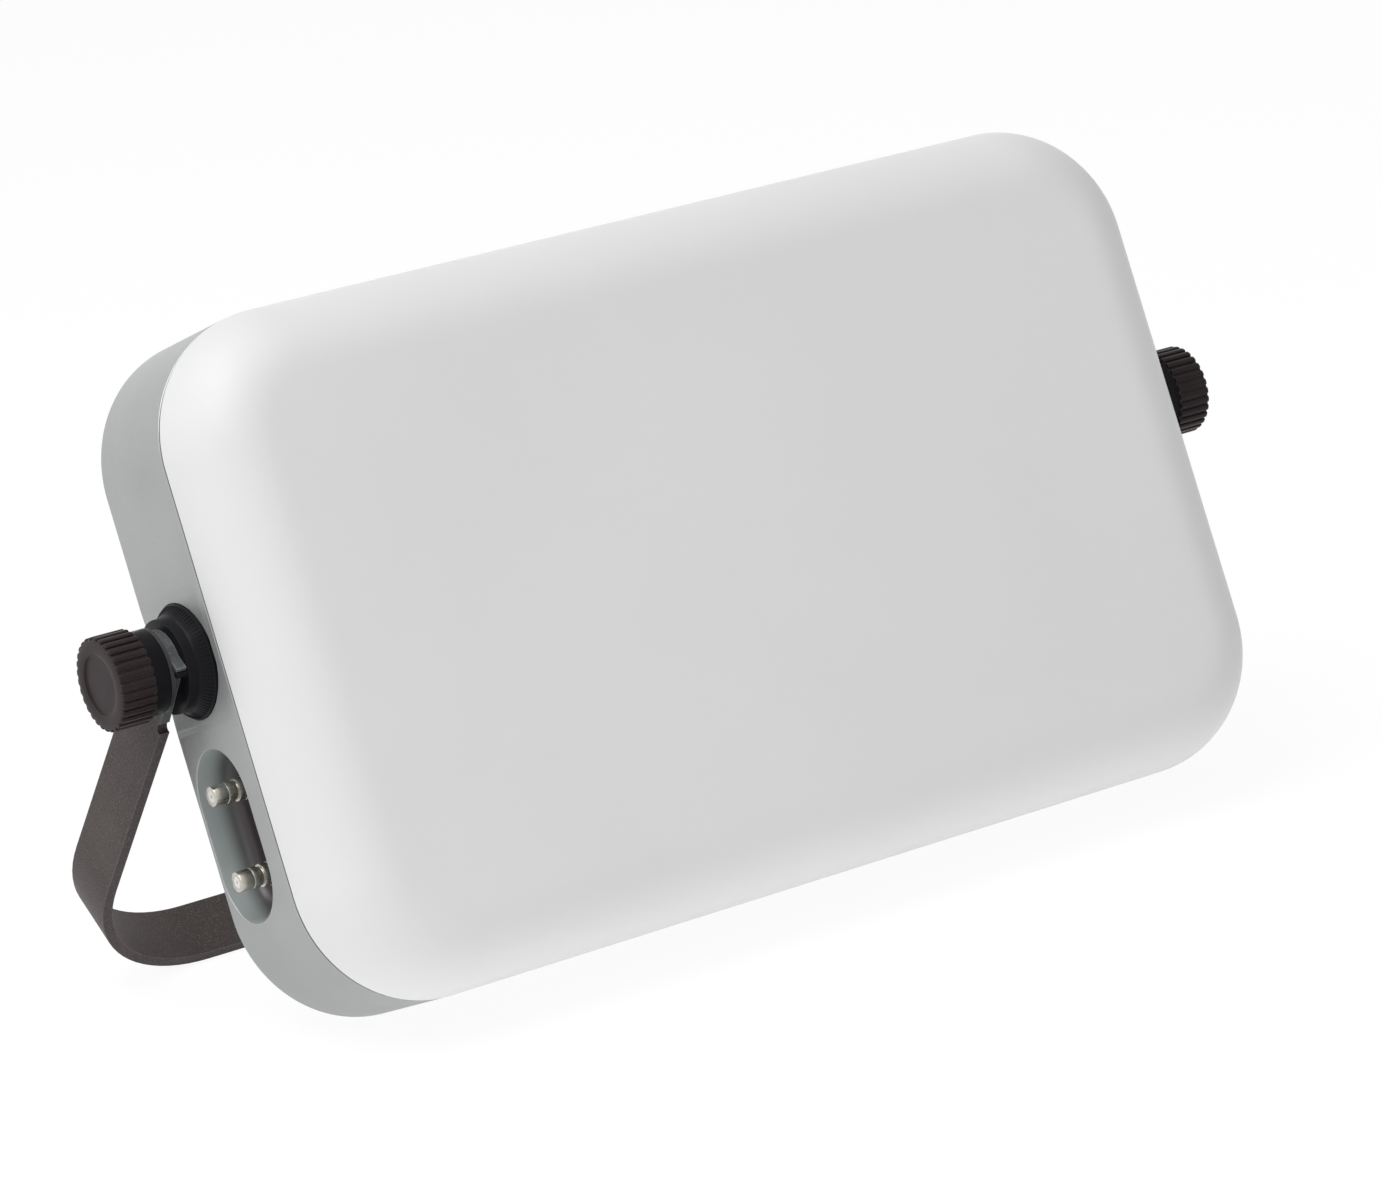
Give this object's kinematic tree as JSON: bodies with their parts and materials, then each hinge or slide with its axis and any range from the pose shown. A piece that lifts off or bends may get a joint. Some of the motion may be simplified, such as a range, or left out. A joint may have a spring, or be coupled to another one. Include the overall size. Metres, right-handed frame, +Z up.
{
  "type": "satellite phone antenna panel",
  "caption": "Flat-panel antenna of a satellite phone: rounded rectangular radome on a shallow case with a connector pocket, on a folding U bracket clamped by side knobs.",
  "frame": {"origin": "on the ground, in the middle of the footprint's bounding box", "axes": "+Z up, -Y out of the radome side, +X to the right when facing the radome"},
  "size_m": [0.4026, 0.1652, 0.2143],
  "materials": {
    "radome_white": "semi-gloss",
    "seal_rubber": "matte",
    "case_grey": "satin",
    "brass": "satin",
    "steel": "satin",
    "aluminium": "satin",
    "circuit_board": "satin",
    "copper": "satin",
    "white_plastic": "matte",
    "pad_grey": "matte",
    "tinned_steel": "satin",
    "nickel": "bright",
    "black_plastic": "matte",
    "strap_paint": "textured matte"
  },
  "bodies": {
    "panel": {"radome": "radome_white", "gasket": "seal_rubber", "housing": "case_grey", "case_inserts": "brass", "case_screws": "steel", "ground_plate": "aluminium", "ground_pillars": "aluminium", "ground_screws": "steel", "feed_board": "circuit_board", "patch_plates": "copper", "patch_posts": "white_plastic", "amplifier_case": "aluminium", "amplifier_lid": "aluminium", "amplifier_board": "circuit_board", "amplifier_chips": "black_plastic", "amplifier_screws": "steel", "thermal_pad": "pad_grey", "control_board": "circuit_board", "control_shield": "tinned_steel", "control_pillars": "black_plastic", "coax_transmit": "copper", "coax_receive": "copper", "coax_feed": "copper", "vent_plug": "black_plastic", "jack_shells": "nickel", "jack_insulators": "white_plastic", "jack_contacts": "brass", "jack_washers": "steel", "jack_nuts": "nickel", "hub_left": "black_plastic", "hub_right": "black_plastic", "anchor_left": "aluminium", "anchor_right": "aluminium", "stud_left": "steel", "stud_right": "steel", "hub_screws": "steel"},
    "bracket": {"strap": "strap_paint", "strap_bushes": "white_plastic"},
    "clamp_left": {"washer_left": "steel"},
    "clamp_right": {"washer_right": "steel"},
    "knob_left": {"knob_left": "black_plastic", "knob_nut_left": "brass", "knob_cap_left": "black_plastic"},
    "knob_right": {"knob_right": "black_plastic", "knob_nut_right": "brass", "knob_cap_right": "black_plastic"}
  },
  "joints": [
    {"name": "bracket_hinge", "type": "hinge", "parent": "panel", "child": "bracket", "pos_m": [0, -0.0042, 0.11586], "axis": [1, 0, 0], "range_deg": [-55, 0]},
    {"name": "clamp_slide_left", "type": "slide", "parent": "panel", "child": "clamp_left", "axis": [-1, 0, 0], "range_m": [0, 0.002]},
    {"name": "knob_turn_left", "type": "hinge", "parent": "clamp_left", "child": "knob_left", "pos_m": [-0.19, -0.0042, 0.11586], "axis": [-1, 0, 0], "range_deg": [0, 720.5]},
    {"name": "clamp_slide_right", "type": "slide", "parent": "panel", "child": "clamp_right", "axis": [1, 0, 0], "range_m": [0, 0.002]},
    {"name": "knob_turn_right", "type": "hinge", "parent": "clamp_right", "child": "knob_right", "pos_m": [0.19, -0.0042, 0.11586], "axis": [1, 0, 0], "range_deg": [0, 720.5]}
  ],
  "couplings": [
    {"joint": "knob_turn_left", "follows": "clamp_slide_left", "rad_per_m": 6283.2},
    {"joint": "knob_turn_right", "follows": "clamp_slide_right", "rad_per_m": 6283.2}
  ]
}
